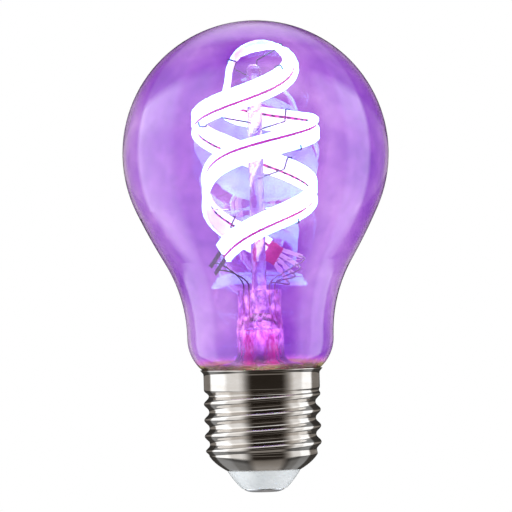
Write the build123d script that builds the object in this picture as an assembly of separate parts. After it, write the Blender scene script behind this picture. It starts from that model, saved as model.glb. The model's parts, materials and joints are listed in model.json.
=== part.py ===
from build123d import *
import math
import os

# Filament lamp with a screw cap: a clear glass bulb on a glass stem, one flexible
# filament wound as a double helix round a glass post, and a driver inside the cap.
# Millimetres, +Z up along the lamp's axis, origin at the middle of the centre contact.

# Glass bulb
bulb_diameter = 60.0
bulb_foot_height = 24.0
bulb_wall = 0.7
crown_end_angle = 25.0
shoulder_radius = 136.0
shoulder_end_angle = 30.5
neck_radius = 16.5
neck_straight = 0.4
heel_radius = 9.3
heel_angle = 48.0
tail_radius = 11.9
tail_fillet = 1.0
tail_length = 2.0

# Screw cap
collar_radius = 13.08
shell_wall = 0.35
cap_rim_height = 27.7
lip_height = 0.9
lip_overhang = 0.7
collar_bottom_height = 23.4
thread_crest_radius = 13.16
thread_root_radius = 12.02
thread_pitch = 3.629
thread_crest_height = 9.2
thread_crest_angle = 180.0
thread_bottom_height = 8.3
thread_fade = 1.5
crest_sharpness = 1.25
thread_steps = 6
half_turn_steps = 15
cone_steps = 3
cone_top_radius = 12.2
cone_bulge_radius = 10.65
cone_bulge_height = 6.55
cone_bottom_radius = 8.25
cone_bottom_height = 4.9

# Insulator and centre contact
insulator_foot_radius = 5.0
insulator_foot_height = 0.8
insulator_waist_radius = 7.2
insulator_waist_height = 3.3
insulator_top_height = 7.0
insulator_seat_gap = 0.13
contact_radius = 4.5
contact_flat_radius = 2.6
contact_dome_middle = (3.65, 0.18)
contact_edge_thickness = 0.25
contact_pin_radius = 1.1
contact_pin_top_height = 8.2

# Glass stem
pinch_width = 9.8
pinch_thickness = 4.4
pinch_height = 5.3
pinch_shoulder = 4.0
pinch_corner = 1.4
stem_tube_radius = 5.3
stem_tube_wall = 1.0
stem_tube_top_height = 36.4
flare_angle = 88.0
flare_upper_arc = 2.4
flare_rim_height = 1.2
exhaust_radius = 1.5
exhaust_wall = 0.45
exhaust_tip_height = 19.4
exhaust_hole_radius = 0.7
post_radius = 1.65
post_crown_gap = 9.9
post_top_round = 1.3

# Flexible filament
filament_width = 5.2
filament_thickness = 1.4
narrow_bead_width = 1.35
bead_gap = 0.65
bead_chamfer = 0.38
substrate_thickness = 0.24
substrate_edge_inset = 0.35
bead_slot_gap = 0.04
bead_end_inset = 0.6
bead_far_end_inset = 3.4
section_count = 121
chip_length = 0.9
chip_width = 0.3
chip_height = 0.16
chip_bond = 0.02

# The filament's route from its left end to its right end: turn angle, radius and height above the
# pinch. The heights stretch together until the route's top is filament_crown_gap below the crown.
filament_crown_gap = 5.5
rising_strand = [
    (228, 12.0, 8.2),
    (270, 12.3, 14.1),
    (315, 12.8, 18.0),
    (360, 13.0, 21.9),
    (405, 13.2, 25.8),
    (450, 13.4, 29.8),
    (495, 13.6, 33.8),
    (540, 13.6, 37.6),
    (585, 12.9, 40.9),
    (630, 11.5, 44.1),
    (675, 9.5, 47.5),
    (715, 8.3, 51.5),
    (743, 6.1, 54.6),
    (799, 4.1, 55.1),
    (857, 5.3, 52.9),
]
falling_strand = [
    (540, 5.9, 46.3),
    (495, 9.3, 41.7),
    (450, 12.2, 39.1),
    (405, 13.3, 37.5),
    (360, 13.8, 36.0),
    (315, 13.6, 33.9),
    (270, 13.2, 31.5),
    (225, 12.3, 28.1),
    (180, 11.6, 22.0),
    (150, 12.0, 17.5),
    (118, 11.9, 13.5),
    (90, 11.6, 10.3),
    (66, 11.5, 7.3),
]
tip_over_start = 44.3
tip_over_end = 55.3
tip_over_share = 0.6
tip_over_lean = 0.55

# Filament terminals
tab_width = 0.9
tab_thickness = 0.3
tab_length = 5.2
tab_hole_radius = 0.18
right_tab_fan = 9.0

# Wires
support_wire_radius = 0.17
# Each support: its share of the route, then the edge of the strip that it hooks round
support_places = (
    (0.08, -1), (0.187, 1), (0.335, -1), (0.43, 1), (0.485, -1), (0.54, 1), (0.66, -1), (0.76, 1), (0.945, -1))
support_fall = 2.0
support_bend = 0.3
support_gap = 0.06
support_embed = 0.9
support_return = 1.1
lead_wire_radius = 0.16
lead_slack = 0.6
sleeve_radius = 0.56
sleeve_bottom_height = 25.0
sleeve_top_gap = 0.8
sleeve_gap = 0.02
lead_lap = 0.8
lap_gap = 0.01
lead_rise = 0.9
# Each lead: the offset of its terminal across the strip, then its place in the pinch
left_leads = ((-1.35, (-2.3, -0.75)), (0.75, (-3.45, 0.55)))
right_leads = ((-1.8, (2.35, -0.75)), (-0.6, (3.5, -0.5)), (0.6, (3.5, 0.7)), (1.8, (2.35, 0.75)))
cement_foot_gap = 0.2
cement_gap = 0.08

# Driver inside the cap
board_radius = 10.4
board_thickness = 1.0
board_top_height = 18.0
pin_below_board = 0.8
capacitor_radius = 3.15
capacitor_length = 7.6
can_edge_round = 0.4
capacitor_place = (-5.9, 3.9)
inductor_radius = 2.6
inductor_core_radius = 1.5
inductor_flange = 0.8
inductor_length = 5.0
winding_inset = 0.3
inductor_place = (4.4, 4.3)
resistor_radius = 1.15
resistor_length = 5.2
resistor_place = (3.4, -4.6)
resistor_stand_off = 1.6
component_wire_radius = 0.25
rectifier_size = (4.7, 3.9, 1.6)
rectifier_place = (-6.6, -3.2)
driver_chip_size = (4.9, 3.9, 1.5)
driver_chip_place = (0.0, 6.6)
wireless_size = (7.6, 4.6, 0.8)
wireless_shield_size = (5.2, 3.6, 1.4)
wireless_place = (0.6, -7.0)
chip_leg_size = (1.0, 0.42, 0.2)
chip_leg_reach = 0.6

crown_radius = bulb_diameter / 2
collar_inner_radius = collar_radius - shell_wall
cement_bottom_height = bulb_foot_height + cement_foot_gap
pinch_bottom_height = stem_tube_top_height + pinch_shoulder
pinch_top_height = pinch_bottom_height + pinch_height
sleeve_top_height = stem_tube_top_height - sleeve_top_gap
board_bottom_height = board_top_height - board_thickness


def revolved(edges):
    """A solid of revolution from a closed outline of radius and height."""
    return revolve(Plane.XZ * make_face(edges), Axis.Z)


# Glass bulb: the outer and inner outlines turn by the same angles, a wall apart
def bulb_outline(inset, crown_centre_height):
    """From the top of the crown to the foot of the tail, inset from the outer face."""
    first = math.radians(crown_end_angle)
    turn = math.radians(shoulder_end_angle)
    shoulder_end = crown_radius * math.cos(first) - shoulder_radius * (math.cos(first) - math.cos(turn))
    neck_arc_radius = (shoulder_end - neck_radius) / (1 - math.cos(turn))
    heel_turn = math.radians(heel_angle)
    drop = neck_radius - tail_radius - (heel_radius + tail_fillet) * (1 - math.cos(heel_turn))
    heel_slope_length = drop / math.sin(heel_turn)
    crown = JernArc((0, crown_centre_height + crown_radius - inset), (1, 0), crown_radius - inset,
                    -90 - crown_end_angle)
    shoulder = JernArc(crown @ 1, crown % 1, shoulder_radius - inset, crown_end_angle - shoulder_end_angle)
    neck = JernArc(shoulder @ 1, shoulder % 1, neck_arc_radius + inset, shoulder_end_angle)
    straight = Line(neck @ 1, neck @ 1 + Vector(0, -neck_straight))
    heel = JernArc(straight @ 1, (0, -1), heel_radius - inset, -heel_angle)
    slope = Line(heel @ 1, heel @ 1 + (heel % 1) * heel_slope_length)
    turn_down = JernArc(slope @ 1, slope % 1, tail_fillet + inset, heel_angle)
    tail = Line(turn_down @ 1, turn_down @ 1 + Vector(0, -tail_length))
    return [crown, shoulder, neck, straight, heel, slope, turn_down, tail]


crown_centre_height = bulb_foot_height - (bulb_outline(0, 0)[-1] @ 1).Y
crown_top_height = crown_centre_height + crown_radius
post_top_height = crown_top_height - post_crown_gap


def glass_bulb():
    outer = bulb_outline(0, crown_centre_height)
    inner = bulb_outline(bulb_wall, crown_centre_height)
    apex = Line(outer[0] @ 0, inner[0] @ 0)
    foot = Line(outer[-1] @ 1, inner[-1] @ 1)
    return revolved([*outer, *inner, apex, foot])


def bulb_filled():
    """The bulb with its hollow filled, for cutting the pieces that seat against it."""
    outer = bulb_outline(0, crown_centre_height)
    axis_line = Line(outer[0] @ 0, (0, bulb_foot_height))
    base = Line((0, bulb_foot_height), outer[-1] @ 1)
    return revolved([*outer, axis_line, base])


# Screw shell: a rolled sheet whose wave climbs one pitch in each turn
def smooth_step(value):
    value = min(max(value, 0.0), 1.0)
    return value * value * (3 - 2 * value)


def thread_radius(height, angle, wall):
    turns = (height - thread_crest_height) / thread_pitch - (angle - thread_crest_angle) / 360
    crest_share = (0.5 + 0.5 * math.cos(2 * math.pi * turns)) ** crest_sharpness
    wave = thread_root_radius + (thread_crest_radius - thread_root_radius) * crest_share
    top = smooth_step((collar_bottom_height - height) / thread_fade)
    bottom = smooth_step((height - thread_bottom_height) / thread_fade)
    wave = collar_radius + (wave - collar_radius) * top
    wave = cone_top_radius + (wave - cone_top_radius) * bottom
    return wave - wall


def thread_points(angle, wall):
    """One meridian of the thread, from its bottom to its top."""
    count = round(thread_steps * (collar_bottom_height - thread_bottom_height) / thread_pitch)
    step = (collar_bottom_height - thread_bottom_height) / count
    heights = [thread_bottom_height + step * i for i in range(count + 1)]
    return [(thread_radius(height, angle, wall), height) for height in heights]


def cone_points(wall):
    """The cap's bottom cone, bulging between its foot and the thread."""
    foot = (cone_bottom_radius - wall, cone_bottom_height + wall)
    bulge = (cone_bulge_radius - wall, cone_bulge_height + wall / 2)
    cone = ThreePointArc(foot, bulge, (cone_top_radius - wall, thread_bottom_height))
    return [((cone @ (i / cone_steps)).X, (cone @ (i / cone_steps)).Y) for i in range(cone_steps)]


def shell_section(angle):
    """The sheet's cut face at one angle round the axis."""
    lip_base = cap_rim_height - lip_height
    outline = []
    for wall in (0, shell_wall):
        radius = collar_radius - wall
        side = cone_points(wall) + thread_points(angle, wall)
        side += [(radius, lip_base), (radius + lip_overhang, cap_rim_height)]
        outline += side if wall == 0 else side[::-1]
    return Rot(0, 0, angle) * (Plane.XZ * make_face(Polyline(*outline, close=True)))


def screw_shell():
    halves = []
    for start in (0, 180):
        turns = [start + 180 * i / half_turn_steps for i in range(half_turn_steps + 1)]
        halves.append(loft([shell_section(turn) for turn in turns], ruled=True))
    return halves[0] + halves[1]


# Insulator and centre contact
def cap_insulator():
    foot = Line((0, insulator_foot_height), (insulator_foot_radius, insulator_foot_height))
    bulge = ThreePointArc(foot @ 1, (insulator_waist_radius, insulator_waist_height),
                          (cone_bottom_radius, cone_bottom_height))
    top = Line(bulge @ 1, (0, cone_bottom_height))
    below = revolved([foot, bulge, top, Line(top @ 1, foot @ 0)])
    seat = insulator_seat_gap
    mouth_radius = cone_bottom_radius - shell_wall - seat
    mouth_height = cone_bottom_height + shell_wall
    wall = ThreePointArc((mouth_radius, mouth_height),
                         (cone_bulge_radius - shell_wall - seat, cone_bulge_height + shell_wall / 2),
                         (cone_top_radius - shell_wall - seat, thread_bottom_height))
    lid = Line(wall @ 1, (0, thread_bottom_height))
    axis_line = Line(lid @ 1, (0, cone_bottom_height))
    base = Line(axis_line @ 1, (mouth_radius, cone_bottom_height))
    mouth = Line(base @ 1, wall @ 0)
    inside = revolved([wall, lid, axis_line, base, mouth])
    inside &= Pos(0, 0, insulator_top_height) * Cylinder(collar_radius, thread_bottom_height * 2,
                                                         align=(Align.CENTER, Align.CENTER, Align.MAX))
    hole = Cylinder(contact_pin_radius + insulator_seat_gap, thread_bottom_height * 3)
    return below + inside - hole


def centre_contact():
    face = Line((0, 0), (contact_flat_radius, 0))
    edge_start = insulator_foot_height - contact_edge_thickness
    rise = ThreePointArc(face @ 1, contact_dome_middle, (contact_radius, edge_start))
    edge = Polyline(rise @ 1, (contact_radius, insulator_foot_height),
                    (contact_pin_radius, insulator_foot_height), (contact_pin_radius, contact_pin_top_height),
                    (0, contact_pin_top_height), face @ 0)
    return revolved([face, rise, edge])


# Glass stem
def stem_flare(cutters):
    """Flare tube, trumpet rim and the flattened pinch in one fused piece."""
    rim_radius = tail_radius - bulb_wall
    turn = math.radians(flare_angle)
    arcs_total = (rim_radius - stem_tube_radius) / (1 - math.cos(turn))
    lower_arc = arcs_total - flare_upper_arc
    start_height = bulb_foot_height + flare_rim_height + arcs_total * math.sin(turn)

    def side(inset):
        tube = Line((stem_tube_radius - inset, stem_tube_top_height), (stem_tube_radius - inset, start_height))
        out = JernArc(tube @ 1, (0, -1), flare_upper_arc + inset, flare_angle)
        back = JernArc(out @ 1, out % 1, lower_arc - inset, -flare_angle)
        rim = Line(back @ 1, ((back @ 1).X, bulb_foot_height))
        return [tube, out, back, rim]

    outer, inner = side(0), side(stem_tube_wall)
    top = Line(outer[0] @ 0, inner[0] @ 0)
    foot = Line(outer[-1] @ 1, inner[-1] @ 1)
    tube = revolved([*outer, *inner, top, foot])
    pinch_face = RectangleRounded(pinch_width, pinch_thickness, pinch_corner)
    shoulder = loft([Pos(0, 0, stem_tube_top_height) * Circle(stem_tube_radius),
                     Pos(0, 0, pinch_bottom_height) * pinch_face])
    pinch = Pos(0, 0, pinch_bottom_height) * extrude(pinch_face, pinch_top_height - pinch_bottom_height)
    hole_height = (stem_tube_top_height + pinch_bottom_height) / 2
    rise = Pos(0, 0, stem_tube_top_height) * Cylinder(
        exhaust_hole_radius, hole_height - stem_tube_top_height, align=(Align.CENTER, Align.CENTER, Align.MIN))
    vent = Pos(0, 0, hole_height) * Rot(90, 0, 0) * Cylinder(
        exhaust_hole_radius, stem_tube_radius, align=(Align.CENTER, Align.CENTER, Align.MIN))
    return tube + shoulder + pinch - rise - vent - cutters


def exhaust_tube():
    tip_start = exhaust_tip_height + exhaust_radius
    outer = Polyline((exhaust_radius, stem_tube_top_height), (exhaust_radius, tip_start))
    tip = JernArc(outer @ 1, (0, -1), exhaust_radius, -90)
    inner_radius = exhaust_radius - exhaust_wall
    core = JernArc((inner_radius, tip_start), (0, -1), inner_radius, -90)
    bore = Line(core @ 0, (inner_radius, stem_tube_top_height))
    mouth = Line(bore @ 1, outer @ 0)
    return revolved([outer, tip, Line(tip @ 1, core @ 1), core, bore, mouth])


def glass_post(cutters):
    height = post_top_height - pinch_top_height
    post = Cylinder(post_radius, height, align=(Align.CENTER, Align.CENTER, Align.MIN))
    post = Pos(0, 0, pinch_top_height) * post
    post = fillet(post.edges().group_by(Axis.Z)[-1], post_top_round)
    return post - cutters


# Filament: one flexible strip on a route from its left end, over the top, to its right end
stations = rising_strand + falling_strand
route_stretch = (crown_top_height - filament_crown_gap - pinch_top_height) / max(row[2] for row in stations)


def on_turn(angle, radius, height):
    turn = math.radians(angle)
    return Vector(radius * math.cos(turn), radius * math.sin(turn), pinch_top_height + height * route_stretch)


def filament_route():
    return Edge.make_spline([on_turn(*station) for station in stations])


route = filament_route()


def strip_plane(place):
    """The strip's cross-section plane: local X across its width, local Y out of its outer face."""
    origin = route.position_at(place)
    along = route.tangent_at(place)
    outward = Vector(origin.X, origin.Y, 0).normalized()
    height = (origin.Z - pinch_top_height) / route_stretch
    share = smooth_step((height - tip_over_start) / (tip_over_end - tip_over_start))
    tipped = Vector(0, -tip_over_lean, 1).normalized()
    outward = outward * (1 - tip_over_share * share) + tipped * (tip_over_share * share)
    across = outward.cross(along).normalized()
    return Plane(origin=origin, x_dir=across, z_dir=along)


def strip(outline, places):
    """A strip of one cross-section lofted through the given places on the route."""
    face = make_face(Polyline(*outline, close=True))
    return loft([strip_plane(place) * face for place in places], ruled=True)


def bead_outline(low, high, slot_at_high):
    """A bead with a slot in one side that takes the substrate's edge."""
    half = filament_thickness / 2
    slot = substrate_thickness / 2 + bead_slot_gap
    cut = bead_chamfer
    deep = filament_width / 2 - substrate_edge_inset + bead_slot_gap
    points = [(high, slot), (high, half - cut), (high - cut, half), (low + cut, half), (low, half - cut),
              (low, cut - half), (low + cut, -half), (high - cut, -half), (high, cut - half), (high, -slot),
              (-deep, -slot), (-deep, slot)]
    if not slot_at_high:
        points = [(low + high - x, y) for x, y in points[:10]] + [(deep, -slot), (deep, slot)]
    return points


narrow_bead_high = narrow_bead_width - filament_width / 2
wide_bead_low = narrow_bead_high + bead_gap
bead_first = bead_end_inset / route.length
bead_last = 1 - bead_far_end_inset / route.length
bead_places = [bead_first + (bead_last - bead_first) * i / (section_count - 1) for i in range(section_count)]


def narrow_bead():
    outline = bead_outline(-filament_width / 2, narrow_bead_high, True)
    return strip(outline, bead_places)


def wide_bead():
    outline = bead_outline(wide_bead_low, filament_width / 2, False)
    return strip(outline, bead_places)


def substrate():
    half_width = filament_width / 2 - substrate_edge_inset
    half = substrate_thickness / 2
    outline = [(-half_width, -half), (half_width, -half), (half_width, half), (-half_width, half)]
    return strip(outline, [0, *bead_places, 1])


def led_chips():
    """A row of chips on the substrate's inner face in the gap between the beads, one on each flat."""
    middle = (narrow_bead_high + wide_bead_low) / 2
    chips = []
    for low, high in zip(bead_places, bead_places[1:]):
        start, end = strip_plane(low), strip_plane(high)
        first, last = (plane.from_local_coords((middle, -substrate_thickness / 2, 0)) for plane in (start, end))
        flat = Plane(origin=(first + last) / 2, x_dir=start.x_dir + end.x_dir, z_dir=last - first)
        chips.append(flat * Pos(0, -chip_height / 2 - chip_bond, 0) * Box(chip_width, chip_height, chip_length))
    return Compound(children=chips)


# Filament terminals: flat tabs welded to the substrate's ends
def tab_frame(end, offset, fan):
    side = -1 if end == 0 else 1
    plane = strip_plane(end)
    return plane * Pos(offset, 0, 0) * Rot(0, fan * side, 0) * Rot(0, 0 if side == 1 else 180, 0)


def left_tab(offset):
    tab = Box(tab_width, tab_thickness, tab_length, align=(Align.CENTER, Align.CENTER, Align.MIN))
    return tab_frame(0, offset, 0) * tab


def right_tab(offset):
    """Fanned out from the strip's end, its foot cut flush with it."""
    tab = Box(tab_width, tab_thickness, tab_length + tab_width, align=(Align.CENTER, Align.CENTER, Align.MIN))
    hole = Pos(0, 0, tab_length - tab_width) * Rot(90, 0, 0) * Cylinder(tab_hole_radius, tab_thickness * 2)
    fanned = tab_frame(1, offset, right_tab_fan * offset) * (Pos(0, 0, -tab_width) * tab - hole)
    low_side = (Align.CENTER, Align.CENTER, Align.MAX)
    return fanned - strip_plane(1) * Box(filament_width * 2, filament_thickness, tab_width * 2, align=low_side)


# Wires
def wire(points, radius, bend):
    path = FilletPolyline(*points, radius=bend)
    start = Plane(origin=path @ 0, z_dir=path % 0)
    return sweep(start * Circle(radius), path=path)


def support_wire(place, side):
    """From the glass post to the strip's inner face, then round one of its edges."""
    plane = strip_plane(place)
    clear = support_wire_radius + support_gap
    face = filament_thickness / 2 + clear
    edge = side * (filament_width / 2 + clear)
    corners = [(0, -face, 0), (edge, -face, 0), (edge, face, 0), (edge - side * support_return, face, 0)]
    hook = [plane.from_local_coords(corner) for corner in corners]
    first = hook[0]
    outward = Vector(first.X, first.Y, 0).normalized()
    if first.Z > post_top_height:
        root = Vector(math.copysign(post_radius / 2, first.X), 0, post_top_height - support_embed)
        start = [root, Vector(root.X, root.Y, post_top_height + support_embed)]
    else:
        start = [outward * (post_radius - support_embed) + Vector(0, 0, first.Z - support_fall)]
    return wire([*start, *hook], support_wire_radius, support_bend)


def support_wires():
    return [support_wire(place, side) for place, side in support_places]


def lead_wire(end, offset, place):
    """Lapped on a terminal, then down through the pinch and the flare to the board."""
    fan = right_tab_fan * offset if end == 1 else 0
    frame = tab_frame(end, offset, fan)
    lap = tab_thickness / 2 + lead_wire_radius + lap_gap
    ends = (tab_length, tab_length - lead_lap)
    if end == 1:
        ends = (tab_length - lead_lap, tab_length + lead_lap / 2)
    weld = (frame * Pos(0, -lap, ends[0])).position
    tip = (frame * Pos(0, -lap, ends[1])).position
    above = Vector(place[0], place[1], pinch_top_height + lead_rise)
    foot = Vector(place[0], place[1], board_bottom_height - pin_below_board)
    run = Line(weld, tip)
    swing = Spline(tip, above, tangents=(run % 1, (0, 0, -1)), tangent_scalars=(lead_slack, lead_slack))
    path = Wire([run, swing, Line(above, foot)])
    return sweep(Plane(origin=weld, z_dir=run % 0) * Circle(lead_wire_radius), path=path)


def lead_sleeve(place):
    height = sleeve_top_height - sleeve_bottom_height
    low = (Align.CENTER, Align.CENTER, Align.MIN)
    sleeve = Cylinder(sleeve_radius, height, align=low)
    sleeve -= Cylinder(lead_wire_radius + sleeve_gap, height, align=low)
    return Pos(place[0], place[1], sleeve_bottom_height) * sleeve


# Basing cement between the bulb's tail and the collar
def basing_cement():
    height = cap_rim_height - lip_height - cement_bottom_height
    low = (Align.CENTER, Align.CENTER, Align.MIN)
    ring = Cylinder(collar_inner_radius - cement_gap, height, align=low)
    ring -= Cylinder(tail_radius - bulb_wall / 2, height, align=low)
    return Pos(0, 0, cement_bottom_height) * ring - bulb_filled()


# Driver inside the cap
def driver_board(cutters):
    return Pos(0, 0, board_top_height - board_thickness / 2) * Cylinder(board_radius, board_thickness) - cutters


def hung_under_board(place, shape):
    return Pos(place[0], place[1], board_bottom_height) * Rot(180, 0, 0) * shape


def capacitor():
    can = Cylinder(capacitor_radius, capacitor_length, align=(Align.CENTER, Align.CENTER, Align.MIN))
    return hung_under_board(capacitor_place, fillet(can.edges().group_by(Axis.Z)[-1], can_edge_round))


def inductor_core():
    low = (Align.CENTER, Align.CENTER, Align.MIN)
    core = Cylinder(inductor_core_radius, inductor_length, align=low)
    core += Cylinder(inductor_radius, inductor_flange, align=low)
    core += Pos(0, 0, inductor_length - inductor_flange) * Cylinder(inductor_radius, inductor_flange, align=low)
    return hung_under_board(inductor_place, core)


def inductor_winding():
    low = (Align.CENTER, Align.CENTER, Align.MIN)
    height = inductor_length - 2 * inductor_flange
    winding = Cylinder(inductor_radius - winding_inset, height, align=low)
    winding -= Cylinder(inductor_core_radius, height, align=low)
    return hung_under_board(inductor_place, Pos(0, 0, inductor_flange) * winding)


def resistor():
    body = Cylinder(resistor_radius, resistor_length, align=(Align.CENTER, Align.CENTER, Align.MIN))
    body = fillet(body.edges(), resistor_radius / 3)
    return hung_under_board(resistor_place, Pos(0, 0, resistor_stand_off) * body)


def resistor_lead():
    lead = Cylinder(component_wire_radius, resistor_stand_off, align=(Align.CENTER, Align.CENTER, Align.MIN))
    return hung_under_board(resistor_place, lead)


def contact_wire():
    start = board_bottom_height - resistor_stand_off - resistor_length
    rest = contact_pin_top_height + component_wire_radius + lap_gap
    points = [(*resistor_place, start), (*resistor_place, rest), (0, 0, rest)]
    return wire(points, component_wire_radius, component_wire_radius * 2)


def shell_wire():
    """From the board's edge up and out to the collar's inner wall."""
    inner = board_radius - 2 * component_wire_radius
    height = bulb_foot_height - component_wire_radius - lap_gap
    points = [(inner, 0, board_bottom_height - pin_below_board), (inner, 0, height),
              (collar_inner_radius - cement_gap / 2, 0, height)]
    return wire(points, component_wire_radius, component_wire_radius * 2)


def surface_part(size, place, legs):
    """A moulded block on the board with its legs along two sides."""
    length, width, height = size
    low = (Align.CENTER, Align.CENTER, Align.MIN)
    block = Pos(0, 0, chip_leg_size[2] / 2) * Box(length, width, height, align=low)
    for i in range(legs):
        x = length * ((i + 0.5) / legs - 0.5)
        for side in (-1, 1):
            leg = Box(chip_leg_size[1], chip_leg_size[0], chip_leg_size[2], align=low)
            block += Pos(x, side * (width + chip_leg_size[0] * chip_leg_reach) / 2, 0) * leg
    return Pos(place[0], place[1], board_top_height) * block


def wireless_board():
    board = Box(*wireless_size, align=(Align.CENTER, Align.CENTER, Align.MIN))
    return Pos(*wireless_place, board_top_height) * board


def wireless_shield():
    can = Box(*wireless_shield_size, align=(Align.CENTER, Align.CENTER, Align.MIN))
    can = fillet(can.edges().filter_by(Axis.Z), can_edge_round)
    return Pos(*wireless_place, board_top_height + wireless_size[2]) * can


def build():
    supports = support_wires()
    leads = [lead_wire(0, offset, place) for offset, place in left_leads]
    leads += [lead_wire(1, offset, place) for offset, place in right_leads]
    lead_places = [place for _, place in (*left_leads, *right_leads)]
    earth = shell_wire()
    pieces = {
        "glass_bulb": glass_bulb(),
        "stem_flare": stem_flare(leads),
        "exhaust_tube": exhaust_tube(),
        "glass_post": glass_post(supports),
        "filament_substrate": substrate(),
        "filament_wide_bead": wide_bead(),
        "filament_narrow_bead": narrow_bead(),
        "led_chips": led_chips(),
        "basing_cement": basing_cement(),
        "screw_shell": screw_shell(),
        "cap_insulator": cap_insulator(),
        "centre_contact": centre_contact(),
        "driver_board": driver_board([*leads, earth]),
        "smoothing_capacitor": capacitor(),
        "inductor_core": inductor_core(),
        "inductor_winding": inductor_winding(),
        "fusible_resistor": resistor(),
        "resistor_lead": resistor_lead(),
        "contact_wire": contact_wire(),
        "shell_wire": earth,
        "bridge_rectifier": surface_part(rectifier_size, rectifier_place, 2),
        "driver_chip": surface_part(driver_chip_size, driver_chip_place, 4),
        "wireless_board": wireless_board(),
        "wireless_shield": wireless_shield(),
    }
    for number, (offset, _) in enumerate(left_leads, 1):
        pieces[f"left_terminal_{number}"] = left_tab(offset)
    for number, (offset, _) in enumerate(right_leads, 1):
        pieces[f"right_terminal_{number}"] = right_tab(offset)
    for number, support in enumerate(supports, 1):
        pieces[f"support_wire_{number}"] = support
    for number, lead in enumerate(leads, 1):
        pieces[f"lead_wire_{number}"] = lead
    for number, place in enumerate(lead_places, 1):
        pieces[f"lead_sleeve_{number}"] = lead_sleeve(place)
    return pieces


os.makedirs("parts", exist_ok=True)
for name, piece in build().items():
    export_step(piece, f"parts/{name}.step")
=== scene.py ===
import json
import math

import bpy
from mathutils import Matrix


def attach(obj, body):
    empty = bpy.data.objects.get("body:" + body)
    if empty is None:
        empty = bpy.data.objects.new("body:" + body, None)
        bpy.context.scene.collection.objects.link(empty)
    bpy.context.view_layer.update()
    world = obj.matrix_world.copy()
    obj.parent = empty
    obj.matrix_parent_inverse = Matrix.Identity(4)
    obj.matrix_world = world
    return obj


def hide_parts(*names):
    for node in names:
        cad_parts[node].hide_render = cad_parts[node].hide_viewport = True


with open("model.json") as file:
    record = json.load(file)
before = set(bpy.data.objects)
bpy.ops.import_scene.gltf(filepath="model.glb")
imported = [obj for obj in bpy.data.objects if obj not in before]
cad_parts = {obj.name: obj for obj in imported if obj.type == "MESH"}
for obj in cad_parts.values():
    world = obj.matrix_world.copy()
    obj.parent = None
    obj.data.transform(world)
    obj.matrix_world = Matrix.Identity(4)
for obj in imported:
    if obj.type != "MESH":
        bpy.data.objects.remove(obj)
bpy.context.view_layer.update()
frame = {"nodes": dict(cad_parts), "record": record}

# Looks of a filament lamp: tinted lustre glass, a glowing double helix and a nickel screw cap.
# Metres, +Z up along the lamp's axis, origin at the middle of the centre contact.
mm = 0.001

# The photograph's view
photo_pixels = 512
pixels_per_mm = 4.438
axis_pixel_x = 258.31
foot_pixel_y = 492
camera_distance = 1.5
camera_roll = math.radians(1.535)
sensor_width = 36
nearest_seen = 0.05

# Screw shell
wall = 0.35 * mm
thread_pitch = 3.629 * mm
thread_crest_radius = 13.16 * mm
thread_root_radius = 12.02 * mm
thread_crest_height = 9.2 * mm
thread_crest_sharpness = 1.25
thread_fade = 1.5 * mm
thread_bottom_height = 8.3 * mm
collar_radius = 13.08 * mm
collar_bottom_height = 23.4 * mm
lip_base_height = 26.8 * mm
lip_bend = 0.4 * mm
lip_curve_start = 0.15
lip_curve_end = 0.85
rim_radius = 13.78 * mm
rim_height = 27.7 * mm
cone_top_radius = 12.2 * mm
cone_bulge = (10.65 * mm, 6.55 * mm)
cone_bottom = (8.25 * mm, 4.9 * mm)
shell_segments = 240
rows_per_pitch = 20
cone_rows = 14
lip_rows = 6

# Colours, linear
bulb_tints = ((0.54, 0.21, 0.82), (0.66, 0.34, 0.89), (0.84, 0.58, 0.98))
fine_bulb_tint = (0.90, 0.84, 0.95)
foot_tint = (0.56, 0.44, 0.22)
foot_line_tint = (0.98, 0.42, 0.98)
stem_tints = ((0.88, 0.62, 0.93), (0.98, 0.93, 0.99))
# Painted glow colours of the stem glass
stem_painted_glow_colours = ((1.0, 0.30, 0.75), (1.0, 0.95, 0.95))
bead_colours = ((0.95, 0.93, 0.84), (0.98, 0.97, 0.93))
filament_light = (0.20, 1.0, 0.58)
inner_lights = ((0.30, 1.0, 0.45), (0.85, 1.0, 0.75), (0.50, 1.0, 0.60))
dark_lead_tints = ((0.06, 0.03, 0.08), (0.14, 0.08, 0.16))
bright_lead_tints = ((0.60, 0.38, 0.55), (0.80, 0.60, 0.75))
# Painted pink glow of the leads inside the stem
stem_lead_painted_glow_tints = ((0.80, 0.25, 0.55), (0.95, 0.55, 0.80))
studio_white = (1.0, 1.0, 1.0)
overhead_white = (0.95, 0.95, 0.95)
floor_white = (0.95, 0.95, 0.95)

# Glass and glow
bulb_refraction = 1.85
stem_refraction = 1.52
glow_roughness = 0.45
glow_variation = 0.2
outer_strength = 12.0
inner_strength = 3.4

# Noise scales, in cycles to a millimetre
broad_lustre_scale = 0.05
fine_lustre_scale = 0.22
bulb_relief_scale = 0.11
foot_wave_scale = 0.7
foot_wave = 1.4 * mm
stem_streak_scale = 0.35
stem_light_scale = 0.9
bead_colour_scale = 0.5
bead_patch_scale = 0.16
bead_relief_scale = 2.0
lead_colour_scale = 1.5
lead_relief_scale = 6.0

# Heights where a colour changes
cement_line_height = 28.8 * mm
foot_line_height = 29.05 * mm
foot_clear_start = 29.6 * mm
foot_clear_height = 30.1 * mm
# Bounds of the stem glass's painted glow; the pinch top also ends the leads' painted pink
stem_dark_height = 31.0 * mm
stem_lit_height = 35.0 * mm
pinch_top_height = 45.7 * mm
lead_change = 0.01
post_dim_height = 49.0 * mm
lamp_height = 106.3 * mm

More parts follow.
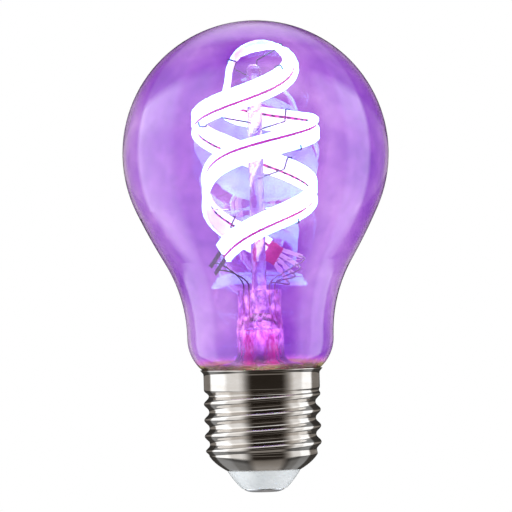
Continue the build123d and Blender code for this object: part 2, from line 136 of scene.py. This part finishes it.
# Studio for glossy surfaces: levels by degrees round the lamp, and by degrees up for its sides and its middle
side_bands = [(-180, 0.3), (-160, 0.25), (-126, 0.28), (-120, 1.7), (-82, 1.7), (-72, 1.1), (-48, 1.1),
              (-22, 0.2), (42, 0.2), (58, 0.5), (68, 1.05), (84, 1.1), (90, 1.6), (114, 1.6), (120, 0.28),
              (160, 0.25), (180, 0.3)]
side_rows = [(-180, 0.2), (-128, 0.22), (-104, 0.20), (-94, 0.08), (-88, 0.10), (-78, 1.0), (-20, 1.0),
             (24, 1.0), (50, 1.35), (74, 1.35), (88, 0.35), (98, 0.30), (112, 0.2), (180, 0.1)]
middle_rows = [(-180, 0.3), (-130, 0.35), (-118, 0.42), (-90, 0.25), (-80, 0.03), (-42, 0.03), (-35, 0.25),
               (-24, 0.25), (-17, 0.03), (46, 0.03), (54, 1.0), (82, 1.0), (89, 0.03), (104, 0.03),
               (180, 0.15)]
middle_band = [(-40, 0.0), (-20, 1.0), (40, 1.0), (58, 0.0)]
overhead_scale = 0.7
overhead_start = 0.92
overhead_full = 0.97

# Floor and lights
floor_half_size = 0.4
floor_height = -30 * mm
floor_lit_share = 0.88
lamp_middle_height = 55 * mm


# Material nodes
def blank_material(name):
    material = bpy.data.materials.new(name)
    material.use_nodes = True
    shader = material.node_tree.nodes["Principled BSDF"]
    return material, material.node_tree, shader


def noise(tree, scale, detail=4.0, stretch=(1.0, 1.0, 1.0)):
    """A noise value between 0 and 1 in the lamp's own space, scale in cycles to a millimetre."""
    place = tree.nodes.new("ShaderNodeTexCoord")
    mapping = tree.nodes.new("ShaderNodeMapping")
    mapping.inputs["Scale"].default_value = [axis / mm for axis in stretch]
    texture = tree.nodes.new("ShaderNodeTexNoise")
    texture.inputs["Scale"].default_value = scale
    texture.inputs["Detail"].default_value = detail
    tree.links.new(place.outputs["Object"], mapping.inputs["Vector"])
    tree.links.new(mapping.outputs["Vector"], texture.inputs["Vector"])
    return texture.outputs["Fac"]


def math_node(tree, operation, *values):
    node = tree.nodes.new("ShaderNodeMath")
    node.operation = operation
    for socket, value in zip(node.inputs, values):
        if isinstance(value, (int, float)):
            socket.default_value = value
        else:
            tree.links.new(value, socket)
    return node.outputs["Value"]


def grey(level):
    return (level, level, level)


def warm(level):
    """Grey that turns brown where the studio is dark."""
    return (level, level ** 1.06, level ** 1.12)


def ramp(tree, value, stops):
    """Colours along a value, from (place, colour) stops."""
    node = tree.nodes.new("ShaderNodeValToRGB")
    elements = node.color_ramp.elements
    while len(elements) < len(stops):
        elements.new(0.5)
    for element, (place, colour) in zip(elements, stops):
        element.position = place
        element.color = (*colour, 1.0)
    tree.links.new(value, node.inputs["Fac"])
    return node.outputs["Color"]


def height_ramp(tree, height, stops):
    """Colours up the lamp, from (height, colour) stops."""
    return ramp(tree, height, [(stop / lamp_height, colour) for stop, colour in stops])


def turn_ramp(tree, turn, levels, colour):
    """Colours round a half turn either way, from (degrees, level) pairs."""
    return ramp(tree, turn, [((degrees + 180) / 360, colour(level)) for degrees, level in levels])


def spread(tree, value, low, high):
    """A noise value stretched to go from low to high."""
    node = tree.nodes.new("ShaderNodeMapRange")
    node.inputs["From Min"].default_value = 0.3
    node.inputs["From Max"].default_value = 0.7
    node.inputs["To Min"].default_value = low
    node.inputs["To Max"].default_value = high
    tree.links.new(value, node.inputs["Value"])
    return node.outputs["Result"]


def bump(tree, shader, value, height, strength=0.5):
    node = tree.nodes.new("ShaderNodeBump")
    node.inputs["Strength"].default_value = strength
    node.inputs["Distance"].default_value = height
    tree.links.new(value, node.inputs["Height"])
    tree.links.new(node.outputs["Normal"], shader.inputs["Normal"])


def lamp_height_value(tree, waviness=0.0, scale=0.3):
    """Height in the lamp's own space as a share of the lamp's height, made wavy by noise."""
    place = tree.nodes.new("ShaderNodeTexCoord")
    split = tree.nodes.new("ShaderNodeSeparateXYZ")
    tree.links.new(place.outputs["Object"], split.inputs["Vector"])
    wave = math_node(tree, "MULTIPLY", math_node(tree, "SUBTRACT", noise(tree, scale), 0.5), waviness)
    return math_node(tree, "DIVIDE", math_node(tree, "ADD", split.outputs["Z"], wave), lamp_height)


def mixed(tree, factor, first, second):
    """A colour between two colours or sockets."""
    node = tree.nodes.new("ShaderNodeMix")
    node.data_type = "RGBA"
    tree.links.new(factor, node.inputs["Factor"])
    for socket, value in ((node.inputs["A"], first), (node.inputs["B"], second)):
        if isinstance(value, tuple):
            socket.default_value = (*value, 1.0)
        else:
            tree.links.new(value, socket)
    return node.outputs["Result"]


def product(tree, first, second):
    """Two colours multiplied."""
    node = tree.nodes.new("ShaderNodeMix")
    node.data_type = "RGBA"
    node.blend_type = "MULTIPLY"
    node.inputs["Factor"].default_value = 1.0
    tree.links.new(first, node.inputs["A"])
    tree.links.new(second, node.inputs["B"])
    return node.outputs["Result"]


def vector_node(tree, operation, first, second=None):
    node = tree.nodes.new("ShaderNodeVectorMath")
    node.operation = operation
    tree.links.new(first, node.inputs[0])
    if isinstance(second, tuple):
        node.inputs[1].default_value = second
    elif second is not None:
        tree.links.new(second, node.inputs[1])
    return node.outputs["Value" if operation == "DOT_PRODUCT" else "Vector"]


def seen_plainly(tree):
    """1 for rays from the camera and through glass, otherwise 0."""
    rays = tree.nodes.new("ShaderNodeLightPath")
    return math_node(tree, "MAXIMUM", rays.outputs["Is Camera Ray"], rays.outputs["Is Transmission Ray"])


# Materials
def surface(name, colours, roughness, metallic=0.0, scale=0.6, height=0.01 * mm, stretch=(1.0, 1.0, 1.0)):
    """An opaque surface with its colour, gloss and relief varied by noise."""
    material, tree, shader = blank_material(name)
    shader.inputs["Metallic"].default_value = metallic
    pattern = noise(tree, scale, stretch=stretch)
    fine = noise(tree, scale * 6, stretch=stretch)
    colour = ramp(tree, pattern, [(0.35, colours[0]), (0.65, colours[1])])
    tree.links.new(colour, shader.inputs["Base Color"])
    tree.links.new(spread(tree, fine, *roughness), shader.inputs["Roughness"])
    bump(tree, shader, fine, height)
    return material


def clear_glass(name, refraction):
    material, tree, shader = blank_material(name)
    shader.inputs["Transmission Weight"].default_value = 1.0
    shader.inputs["IOR"].default_value = refraction
    shader.inputs["Roughness"].default_value = 0.0
    return material, tree, shader


def bulb_glass():
    """Clear glass with a mottled lustre, gold-brown against the cement at its foot."""
    material, tree, shader = clear_glass("bulb_glass", bulb_refraction)
    broad = ramp(tree, noise(tree, broad_lustre_scale, detail=8.0),
                 [(0.40, bulb_tints[0]), (0.5, bulb_tints[1]), (0.64, bulb_tints[2])])
    fine = ramp(tree, noise(tree, fine_lustre_scale, detail=5.0),
                [(0.45, fine_bulb_tint), (0.6, studio_white)])
    height = lamp_height_value(tree, foot_wave, foot_wave_scale)
    foot = height_ramp(tree, height, [(0.0, foot_tint), (cement_line_height, foot_tint),
                                      (foot_line_height, foot_line_tint)])
    clear = height_ramp(tree, height, [(foot_clear_start, grey(0.0)), (foot_clear_height, grey(1.0))])
    tree.links.new(mixed(tree, clear, foot, product(tree, broad, fine)), shader.inputs["Base Color"])
    bump(tree, shader, noise(tree, bulb_relief_scale), 0.05 * mm, strength=0.35)
    return material


def stem_glass():
    """Uneven pressed glass, with the filament's light that it picks up painted on as a glow with sparkles."""
    material, tree, shader = clear_glass("stem_glass", stem_refraction)
    streaks = noise(tree, stem_streak_scale, detail=6.0, stretch=(1.0, 1.0, 0.35))
    tint = ramp(tree, streaks, [(0.38, stem_tints[0]), (0.6, stem_tints[1])])
    tree.links.new(tint, shader.inputs["Base Color"])
    # Painted glow and painted sparkles, strongest over the pinch and dimmer up the post
    lit = noise(tree, stem_light_scale, detail=7.0, stretch=(1.0, 1.0, 0.5))
    light = ramp(tree, lit, [(0.5, stem_painted_glow_colours[0]), (0.6, stem_painted_glow_colours[1])])
    tree.links.new(light, shader.inputs["Emission Color"])
    painted_sparkle = ramp(tree, lit, [(0.42, grey(0.0)), (0.5, grey(0.10)), (0.62, grey(0.85))])
    painted_glow_band = height_ramp(tree, lamp_height_value(tree), [(stem_dark_height, grey(0.0)),
                                                       (stem_lit_height, grey(1.0)),
                                                       (pinch_top_height, grey(1.0)),
                                                       (post_dim_height, grey(0.15))])
    tree.links.new(math_node(tree, "MULTIPLY", painted_sparkle, painted_glow_band), shader.inputs["Emission Strength"])
    bump(tree, shader, lit, 0.5 * mm, strength=0.6)
    return material


def lead(name, tints):
    """A wire whose part inside the stem has a painted pink glow in its colour."""
    material, tree, shader = blank_material(name)
    shader.inputs["Roughness"].default_value = 0.3
    shader.inputs["Metallic"].default_value = 0.4
    pattern = noise(tree, lead_colour_scale)
    above = ramp(tree, pattern, [(0.35, tints[0]), (0.65, tints[1])])
    # Painted pink glow on the part below the top of the pinch
    below = ramp(tree, pattern, [(0.35, stem_lead_painted_glow_tints[0]), (0.65, stem_lead_painted_glow_tints[1])])
    edge = pinch_top_height / lamp_height
    height = ramp(tree, lamp_height_value(tree),
                  [(edge - lead_change, grey(0.0)), (edge + lead_change, grey(1.0))])
    tree.links.new(mixed(tree, height, below, above), shader.inputs["Base Color"])
    bump(tree, shader, noise(tree, lead_relief_scale), 0.02 * mm)
    return material


def glowing(name, colours, light, strength, scale):
    """A surface that shines, with its light varied a little along it."""
    material, tree, shader = blank_material(name)
    shader.inputs["Roughness"].default_value = glow_roughness
    shader.inputs["Emission Color"].default_value = (*light, 1.0)
    pattern = noise(tree, scale)
    colour = ramp(tree, pattern, [(0.3, colours[0]), (0.7, colours[1])])
    tree.links.new(colour, shader.inputs["Base Color"])
    shine = spread(tree, pattern, strength * (1 - glow_variation), strength * (1 + glow_variation))
    tree.links.new(shine, shader.inputs["Emission Strength"])
    bump(tree, shader, noise(tree, scale * 4), 0.03 * mm)
    return material


def phosphor():
    """Shines most on the outside; the faces towards the post shine less, in patches."""
    material, tree, shader = blank_material("phosphor")
    shader.inputs["Roughness"].default_value = glow_roughness
    pattern = noise(tree, bead_colour_scale)
    shade = ramp(tree, pattern, [(0.3, bead_colours[0]), (0.7, bead_colours[1])])
    tree.links.new(shade, shader.inputs["Base Color"])
    place = tree.nodes.new("ShaderNodeNewGeometry")
    from_axis = vector_node(tree, "MULTIPLY", place.outputs["Position"], (1.0, 1.0, 0.0))
    outwards = vector_node(tree, "NORMALIZE", from_axis)
    facing = vector_node(tree, "DOT_PRODUCT", outwards, place.outputs["True Normal"])
    outer = ramp(tree, math_node(tree, "MULTIPLY_ADD", facing, 0.5, 0.5),
                 [(0.3, grey(0.0)), (0.5, grey(1.0))])
    patches = ramp(tree, noise(tree, bead_patch_scale),
                   [(0.42, inner_lights[0]), (0.5, inner_lights[1]), (0.58, inner_lights[2])])
    tree.links.new(mixed(tree, outer, patches, filament_light), shader.inputs["Emission Color"])
    strength = math_node(tree, "MULTIPLY_ADD", outer, outer_strength - inner_strength, inner_strength)
    tree.links.new(strength, shader.inputs["Emission Strength"])
    bump(tree, shader, noise(tree, bead_relief_scale), 0.03 * mm)
    return material


surfaces = {
    "chip": dict(colours=((0.02, 0.02, 0.04), (0.08, 0.07, 0.12)), roughness=(0.1, 0.3), scale=2.0),
    "nickel_plate": dict(colours=((0.60, 0.56, 0.52), (0.66, 0.63, 0.60)), roughness=(0.05, 0.13),
                         metallic=1.0, scale=0.25, height=0.004 * mm, stretch=(1.0, 1.0, 3.0)),
    "nickel_contact": dict(colours=((0.74, 0.76, 0.80), (0.86, 0.88, 0.92)), roughness=(0.25, 0.45),
                           metallic=1.0),
    "insulator_glass": dict(colours=((0.67, 0.71, 0.73), (0.79, 0.82, 0.84)), roughness=(0.08, 0.2),
                            scale=0.2),
    "cement": dict(colours=((0.32, 0.19, 0.08), (0.55, 0.40, 0.20)), roughness=(0.7, 0.95), scale=1.2,
                   height=0.15 * mm),
    "circuit_board": dict(colours=((0.50, 0.52, 0.45), (0.60, 0.61, 0.55)), roughness=(0.3, 0.5),
                          scale=0.8),
    "capacitor_sleeve": dict(colours=((0.01, 0.01, 0.015), (0.03, 0.03, 0.04)), roughness=(0.2, 0.35)),
    "ferrite": dict(colours=((0.02, 0.02, 0.02), (0.05, 0.05, 0.05)), roughness=(0.5, 0.7), scale=1.5),
    "copper_wire": dict(colours=((0.42, 0.12, 0.04), (0.62, 0.24, 0.10)), roughness=(0.2, 0.3),
                        metallic=1.0, scale=0.5, height=0.1 * mm, stretch=(0.2, 0.2, 8.0)),
    "resistor_coat": dict(colours=((0.10, 0.28, 0.22), (0.16, 0.36, 0.30)), roughness=(0.4, 0.6)),
    "tinned_wire": dict(colours=((0.62, 0.62, 0.60), (0.76, 0.76, 0.75)), roughness=(0.2, 0.35),
                        metallic=1.0, scale=1.5),
    "black_mould": dict(colours=((0.01, 0.01, 0.01), (0.03, 0.03, 0.03)), roughness=(0.5, 0.7), scale=2.0),
    "shield_can": dict(colours=((0.60, 0.60, 0.58), (0.72, 0.72, 0.70)), roughness=(0.25, 0.4),
                       metallic=1.0, scale=0.8),
    "dark_tab": dict(colours=((0.10, 0.07, 0.10), (0.20, 0.15, 0.19)), roughness=(0.25, 0.4),
                     metallic=1.0, scale=1.0),
    "support_metal": dict(colours=((0.10, 0.05, 0.14), (0.20, 0.12, 0.24)), roughness=(0.2, 0.3),
                          metallic=0.5, scale=1.5),
}
glows = {
    "filament_substrate": dict(colours=((0.36, 0.02, 0.10), (0.55, 0.06, 0.18)), light=(1.0, 0.12, 0.50),
                               strength=0.6, scale=1.5),
    # The bright tabs' glow is painted light
    "bright_tab": dict(colours=((0.90, 0.70, 0.80), (0.98, 0.90, 0.94)), light=(1.0, 1.0, 0.9),
                       strength=0.6, scale=1.0),
    # The sleeve's glow is painted light
    "sleeve": dict(colours=((0.75, 0.04, 0.38), (0.95, 0.16, 0.60)), light=(1.0, 0.03, 0.40),
                   strength=0.5, scale=1.0),
}
materials = {
    "bulb_glass": bulb_glass(),
    "stem_glass": stem_glass(),
    "phosphor": phosphor(),
    "dark_lead": lead("dark_lead", dark_lead_tints),
    "bright_lead": lead("bright_lead", bright_lead_tints),
}
materials.update({name: surface(name, **look) for name, look in surfaces.items()})
materials.update({name: glowing(name, **look) for name, look in glows.items()})


def finish_cad_nodes():
    """Every carried-over solid gets its slot's material."""
    slots = {row["node"]: row["material_slot"] for row in frame["record"]["subparts"]}
    for node, piece in frame["nodes"].items():
        piece.data.materials.clear()
        piece.data.materials.append(materials[slots[node]])


def mesh_piece(name, vertices, faces, material):
    mesh = bpy.data.meshes.new(name)
    mesh.from_pydata(vertices, [], faces)
    mesh.materials.append(material)
    piece = bpy.data.objects.new(name, mesh)
    bpy.context.scene.collection.objects.link(piece)
    return piece


# Screw shell with a smooth rolled thread
def smooth_step(value):
    value = min(max(value, 0.0), 1.0)
    return value * value * (3 - 2 * value)


def thread_radius(height, angle):
    """Radius of the thread's wave, which fades into the cone below and the collar above."""
    turns = (height - thread_crest_height) / thread_pitch - (angle - math.pi) / (2 * math.pi)
    crest_share = (0.5 + 0.5 * math.cos(2 * math.pi * turns)) ** thread_crest_sharpness
    wave = thread_root_radius + (thread_crest_radius - thread_root_radius) * crest_share
    top = smooth_step((collar_bottom_height - height) / thread_fade)
    bottom = smooth_step((height - thread_bottom_height) / thread_fade)
    wave = collar_radius + (wave - collar_radius) * top
    return cone_top_radius + (wave - cone_top_radius) * bottom


def cone_side(inset):
    """The bulging cone's radii and heights, up to where the thread begins."""
    start, middle, end = cone_bottom, cone_bulge, (cone_top_radius, thread_bottom_height)
    pull = [2 * middle[i] - 0.5 * (start[i] + end[i]) for i in (0, 1)]
    side = []
    for row in range(cone_rows):
        share = row / cone_rows
        radius, height = [start[i] * (1 - share) ** 2 + 2 * pull[i] * share * (1 - share)
                          + end[i] * share ** 2 for i in (0, 1)]
        side.append((radius - inset, height + inset * (1 - share)))
    return side


def shell_side(angle, inset):
    """Radius and height up one meridian, from the cone's foot to the rim."""
    side = cone_side(inset)
    threaded = collar_bottom_height - thread_bottom_height
    rows = round(rows_per_pitch * threaded / thread_pitch)
    for row in range(rows + 1):
        height = thread_bottom_height + threaded * row / rows
        side.append((thread_radius(height, angle) - inset, height))
    side.append((collar_radius - inset, lip_base_height - lip_bend))
    for row in range(lip_rows + 1):
        share = row / lip_rows
        curve = smooth_step(lip_curve_start + (lip_curve_end - lip_curve_start) * share)
        out = (rim_radius - collar_radius) * curve / smooth_step(lip_curve_end)
        side.append((collar_radius - inset + out, lip_base_height + (rim_height - lip_base_height) * share))
    return side


def screw_shell():
    vertices = []
    faces = []
    for segment in range(shell_segments):
        angle = 2 * math.pi * segment / shell_segments
        for radius, height in shell_side(angle, 0) + shell_side(angle, wall)[::-1]:
            vertices.append((radius * math.cos(angle), radius * math.sin(angle), height))
    row_count = len(vertices) // shell_segments
    for segment in range(shell_segments):
        here = segment * row_count
        there = (segment + 1) % shell_segments * row_count
        for row in range(row_count):
            above = (row + 1) % row_count
            faces.append((here + row, there + row, there + above, here + above))
    piece = mesh_piece("rolled_shell", vertices, faces, materials["nickel_plate"])
    piece.data.shade_smooth()
    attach(piece, "root")
    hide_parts("screw_shell")


# Studio
def studio_world():
    """White to the camera and through glass; softboxes at both sides and overhead to glossy surfaces."""
    world = bpy.data.worlds.new("studio")
    world.use_nodes = True
    bpy.context.scene.world = world
    tree = world.node_tree
    background = tree.nodes["Background"]
    place = tree.nodes.new("ShaderNodeTexCoord")
    split = tree.nodes.new("ShaderNodeSeparateXYZ")
    tree.links.new(place.outputs["Generated"], split.inputs["Vector"])
    depth = math_node(tree, "SUBTRACT", 1.0, split.outputs["Y"])
    around, up = [math_node(tree, "MULTIPLY_ADD", math_node(tree, "ARCTAN2", split.outputs[axis], depth),
                            1 / math.pi, 0.5) for axis in ("X", "Z")]
    sides = product(tree, turn_ramp(tree, around, side_bands, warm), turn_ramp(tree, up, side_rows, grey))
    middle = turn_ramp(tree, around, middle_band, grey)
    front = mixed(tree, middle, sides, turn_ramp(tree, up, middle_rows, warm))
    back_and_up = math_node(tree, "ADD", split.outputs["Y"], split.outputs["Z"])
    overhead = ramp(tree, math_node(tree, "MULTIPLY", back_and_up, overhead_scale),
                    [(overhead_start, grey(0.0)), (overhead_full, grey(1.0))])
    studio = mixed(tree, overhead, front, overhead_white)
    tree.links.new(mixed(tree, seen_plainly(tree), studio, studio_white), background.inputs["Color"])
    background.inputs["Strength"].default_value = 1.0


def floor():
    """A plain white sheet under the lamp, below the photograph's frame."""
    material, tree, shader = blank_material("floor")
    shader.inputs["Base Color"].default_value = (*floor_white, 1.0)
    shader.inputs["Roughness"].default_value = 0.8
    light = tree.nodes.new("ShaderNodeEmission")
    mix = tree.nodes.new("ShaderNodeMixShader")
    tree.links.new(math_node(tree, "MULTIPLY", seen_plainly(tree), floor_lit_share), mix.inputs["Fac"])
    tree.links.new(shader.outputs["BSDF"], mix.inputs[1])
    tree.links.new(light.outputs["Emission"], mix.inputs[2])
    tree.links.new(mix.outputs["Shader"], tree.nodes["Material Output"].inputs["Surface"])
    corners = [(x * floor_half_size, y * floor_half_size, floor_height)
               for x, y in ((-1, -1), (1, -1), (1, 1), (-1, 1))]
    sheet = mesh_piece("floor", corners, [(0, 1, 2, 3)], material)
    sheet.visible_glossy = False
    sheet.visible_transmission = False


def softbox(name, place, size, power):
    data = bpy.data.lights.new(name, "AREA")
    data.shape = "RECTANGLE"
    data.size, data.size_y = size
    data.energy = power
    lamp = bpy.data.objects.new(name, data)
    bpy.context.scene.collection.objects.link(lamp)
    lamp.location = place
    x, y, z = place
    lamp.rotation_euler = (math.atan2(math.hypot(x, y), z - lamp_middle_height), 0, math.atan2(x, -y))
    lamp.visible_camera = False
    lamp.visible_glossy = False
    lamp.visible_transmission = False


def photograph_camera():
    data = bpy.data.cameras.new("photograph")
    span = photo_pixels / pixels_per_mm * mm
    data.sensor_width = sensor_width
    data.lens = sensor_width * camera_distance / span
    data.clip_start = nearest_seen
    camera = bpy.data.objects.new("photograph", data)
    bpy.context.scene.collection.objects.link(camera)
    sideways = (photo_pixels / 2 - axis_pixel_x) / pixels_per_mm * mm
    height = (foot_pixel_y - photo_pixels / 2) / pixels_per_mm * mm
    camera.location = (sideways, -camera_distance, height)
    camera.rotation_euler = (math.radians(90), camera_roll, 0)
    bpy.context.scene.camera = camera


finish_cad_nodes()
screw_shell()
studio_world()
floor()
softbox("left_softbox", (-0.5, -0.25, 0.25), (0.4, 0.6), 2.0)
softbox("right_softbox", (0.5, -0.2, 0.2), (0.3, 0.5), 1.5)
photograph_camera()

bpy.context.scene.view_settings.view_transform = "Standard"
